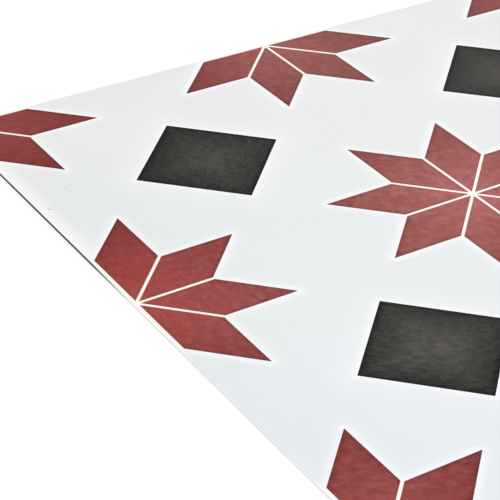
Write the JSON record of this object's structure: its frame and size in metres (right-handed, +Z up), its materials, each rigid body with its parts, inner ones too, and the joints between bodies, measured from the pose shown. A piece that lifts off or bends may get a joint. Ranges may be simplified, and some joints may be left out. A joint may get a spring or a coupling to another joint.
{
  "type": "vinyl floor tile",
  "caption": "Square, thin, flexible vinyl floor tile with a satin face printed with eight-point stars and squares, laid flat and butted edge to edge to cover a floor.",
  "frame": {"origin": "middle of the underside, on the floor that the tile lies on", "axes": "+Z up out of the printed face; +X and +Y along the tile's cut edges"},
  "size_m": [0.3048, 0.3048, 0.0012],
  "materials": {
    "printed_vinyl": "satin"
  },
  "bodies": {
    "root": {"vinyl_tile": "printed_vinyl"}
  },
  "joints": []
}
